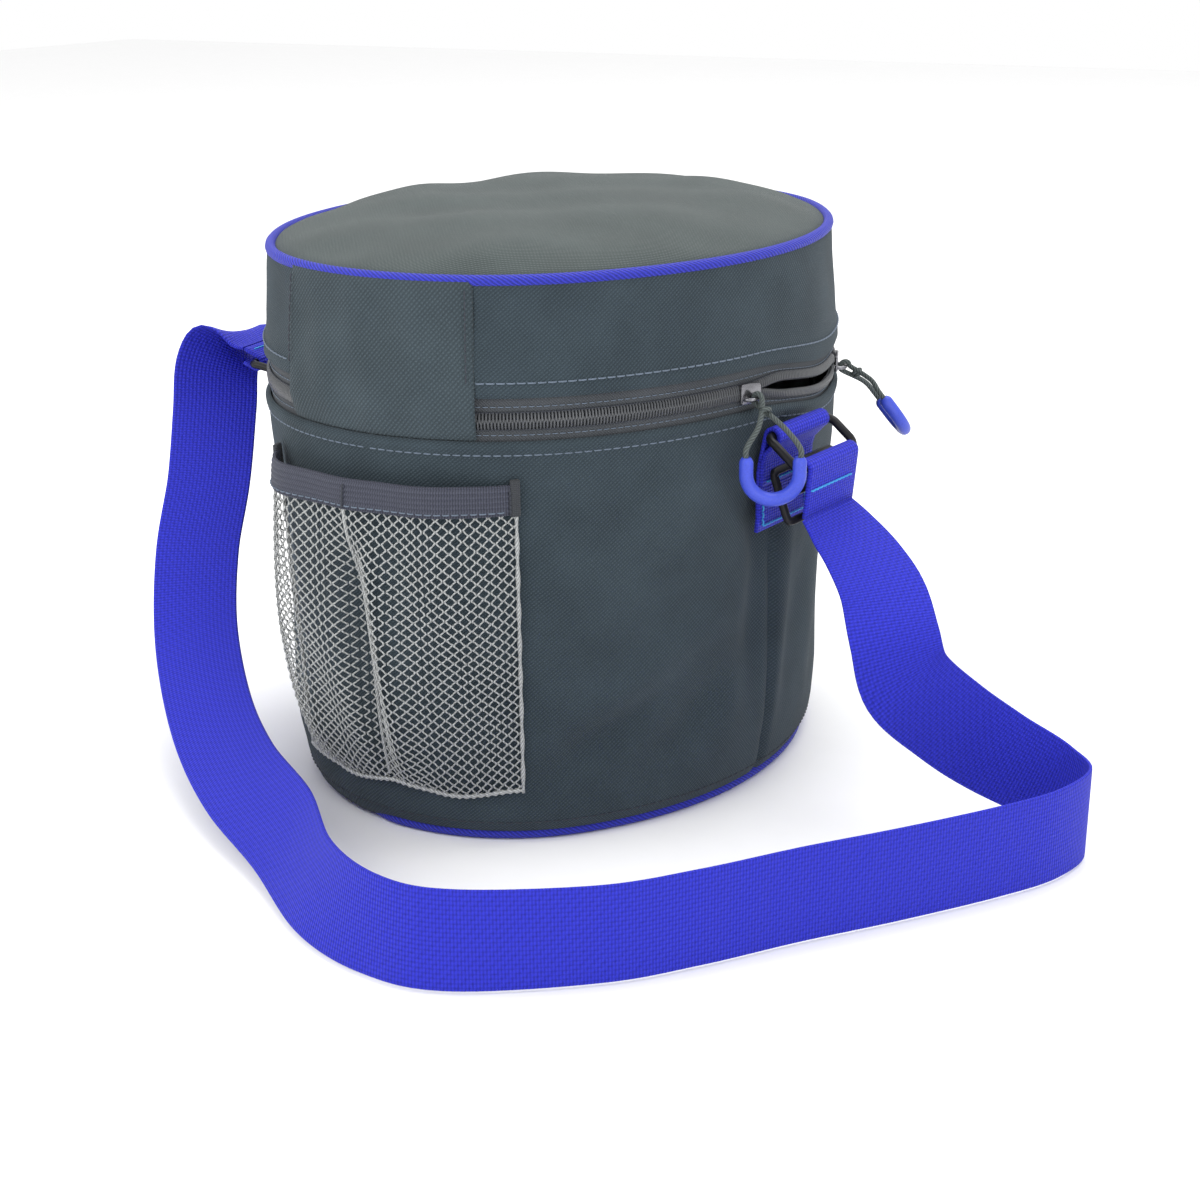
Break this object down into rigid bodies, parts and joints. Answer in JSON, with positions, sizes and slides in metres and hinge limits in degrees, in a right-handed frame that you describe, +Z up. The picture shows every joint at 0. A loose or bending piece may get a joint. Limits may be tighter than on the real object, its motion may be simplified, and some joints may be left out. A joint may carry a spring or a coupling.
{
  "type": "insulated cooler bag",
  "caption": "Oval insulated lunch cooler with a zipped, fabric-hinged lid, padded walls, mesh pocket and a webbing shoulder strap.",
  "frame": {"origin": "middle of the flat underside, on the floor", "axes": "+Z up; -Y is the pocket and hinge side; +X is the side of the right strap anchor"},
  "size_m": [0.451, 0.3909, 0.2507],
  "materials": {
    "fabric": "woven polyester twill",
    "piping": "woven cord piping",
    "foam": "closed-cell foam",
    "liner": "wipe-clean film",
    "binding": "folded binding tape",
    "zip_tape": "woven zip tape",
    "zip_coil": "nylon coil",
    "slider": "dark metal",
    "pull_cord": "braided cord",
    "grip": "moulded plastic",
    "webbing": "woven webbing",
    "ring": "moulded plastic",
    "mesh": "knitted net",
    "elastic": "ribbed elastic"
  },
  "bodies": {
    "bag_body": {"pocket_side_panel": "fabric", "back_panel": "fabric", "bottom_panel": "fabric", "bottom_piping": "piping", "wall_foam": "foam", "base_foam": "foam", "liner_tub": "liner", "rim_binding": "binding", "zip_tape_lower": "zip_tape", "zip_coil_lower": "zip_coil", "pocket_mesh": "mesh", "pocket_elastic": "elastic", "anchor_tab_right": "webbing", "anchor_tab_left": "webbing", "shoulder_strap": "webbing"},
    "lid": {"lid_side_band": "fabric", "hinge_panel": "fabric", "lid_top_panel": "fabric", "top_piping": "piping", "lid_top_foam": "foam", "lid_side_foam": "foam", "lid_liner": "liner", "lid_binding": "binding", "zip_tape_upper": "zip_tape", "zip_coil_upper": "zip_coil"},
    "slider_1": {"slider_1_body": "slider"},
    "slider_2": {"slider_2_body": "slider"},
    "pull_1": {"pull_1_cord": "pull_cord", "pull_1_grip": "grip"},
    "pull_2": {"pull_2_cord": "pull_cord", "pull_2_grip": "grip"},
    "ring_right": {"ring_right": "ring", "strap_end_right": "webbing", "triglide": "ring"},
    "ring_left": {"ring_left": "ring", "strap_end_left": "webbing"}
  },
  "joints": [
    {"name": "lid_fold", "type": "hinge", "parent": "bag_body", "child": "lid", "pos_m": [0, -0.1475, 0.1766], "axis": [1, 0, 0], "range_deg": [0, 110]},
    {"name": "slider_1_travel", "type": "hinge", "parent": "bag_body", "child": "slider_1", "pos_m": [-0.04386, 0, 0], "axis": [0, 0, 1], "range_deg": [-27.8, 0]},
    {"name": "slider_2_travel", "type": "hinge", "parent": "bag_body", "child": "slider_2", "pos_m": [-0.04386, 0, 0], "axis": [0, 0, 1], "range_deg": [-10, 20]},
    {"name": "pull_1_swing", "type": "hinge", "parent": "slider_1", "child": "pull_1", "pos_m": [0.12049, -0.04251, 0.1826], "axis": [-0.2504, -0.9681, 0], "range_deg": [0, 110]},
    {"name": "pull_2_swing", "type": "hinge", "parent": "slider_2", "child": "pull_2", "pos_m": [0.11409, 0.06222, 0.1746], "axis": [0.3665, -0.9304, 0], "range_deg": [-38, 100]},
    {"name": "ring_right_swing", "type": "hinge", "parent": "bag_body", "child": "ring_right", "pos_m": [0.12789, -0.01957, 0.1665], "axis": [-0.1132, -0.9936, 0], "range_deg": [-20, 30], "deforming": ["shoulder_strap"]},
    {"name": "ring_left_swing", "type": "hinge", "parent": "bag_body", "child": "ring_left", "pos_m": [-0.12789, -0.01957, 0.1665], "axis": [-0.1132, 0.9936, 0], "range_deg": [-25, 25]}
  ]
}
